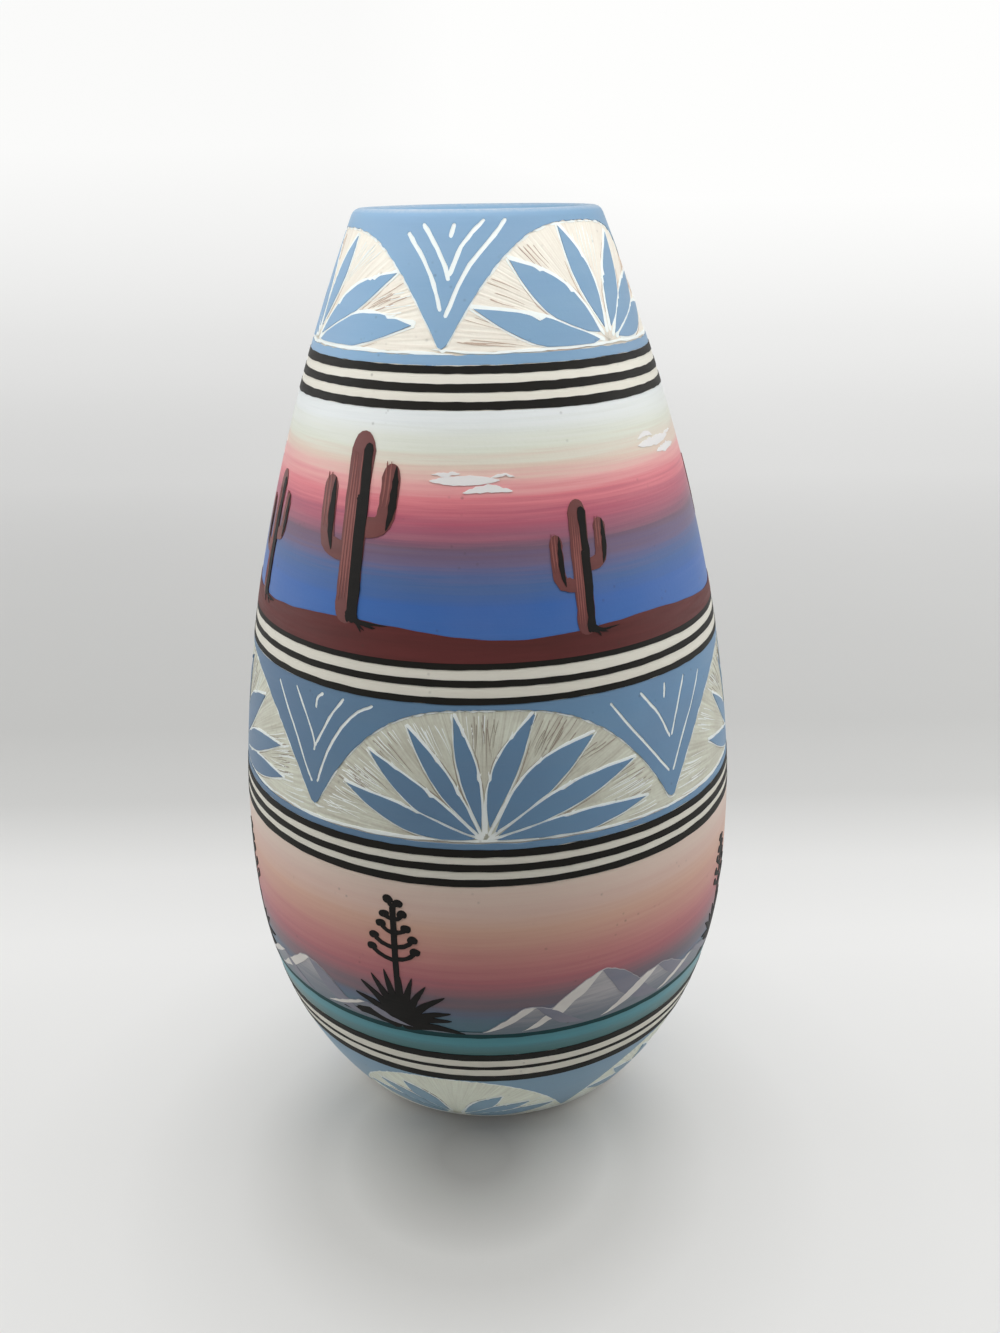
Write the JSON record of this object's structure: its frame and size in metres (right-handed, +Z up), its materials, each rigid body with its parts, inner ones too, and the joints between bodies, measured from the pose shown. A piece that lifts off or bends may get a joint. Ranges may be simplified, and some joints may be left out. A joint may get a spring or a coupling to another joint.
{
  "type": "pottery vase",
  "caption": "Tall egg-shaped pottery vase with a small round mouth, painted with stripes and sunset bands, and fans etched through blue paint to the clay.",
  "frame": {"origin": "on the table under the centre of the foot ring", "axes": "+Z up along the axis of the vase, -Y the front seen in the picture, +X to its right"},
  "size_m": [0.1446, 0.1446, 0.2543],
  "materials": {
    "clay": "fired, unglazed, matt",
    "rim_blue": "matt brushed paint",
    "middle_blue": "matt brushed paint",
    "base_blue": "matt brushed paint",
    "cream": "matt brushed paint",
    "line_black": "satin brushed paint",
    "upper_sky": "matt blended paint",
    "red_earth": "matt brushed paint",
    "cactus_red": "matt brushed paint",
    "plant_black": "matt brushed paint",
    "cloud_white": "matt brushed paint",
    "lower_sky": "matt blended paint",
    "hill_grey": "matt brushed paint",
    "teal": "satin brushed paint"
  },
  "bodies": {
    "root": {"clay_body": "clay", "base_blue_field": "base_blue", "base_blue_leaves": "base_blue", "base_cream_band": "cream", "base_lines": "line_black", "teal_strip": "teal", "lower_sky": "lower_sky", "horizon_line": "line_black", "pale_hills": "hill_grey", "agave_plants": "plant_black", "lower_cream_band": "cream", "lower_lines": "line_black", "middle_blue_border": "middle_blue", "middle_blue_field": "middle_blue", "middle_blue_leaves": "middle_blue", "middle_cream_band": "cream", "middle_lines": "line_black", "upper_sky": "upper_sky", "red_ground": "red_earth", "cactus_plants": "cactus_red", "cactus_shade": "plant_black", "cloud_streaks": "cloud_white", "upper_cream_band": "cream", "upper_lines": "line_black", "rim_blue_border": "rim_blue", "rim_blue_field": "rim_blue", "rim_blue_leaves": "rim_blue"}
  },
  "joints": []
}
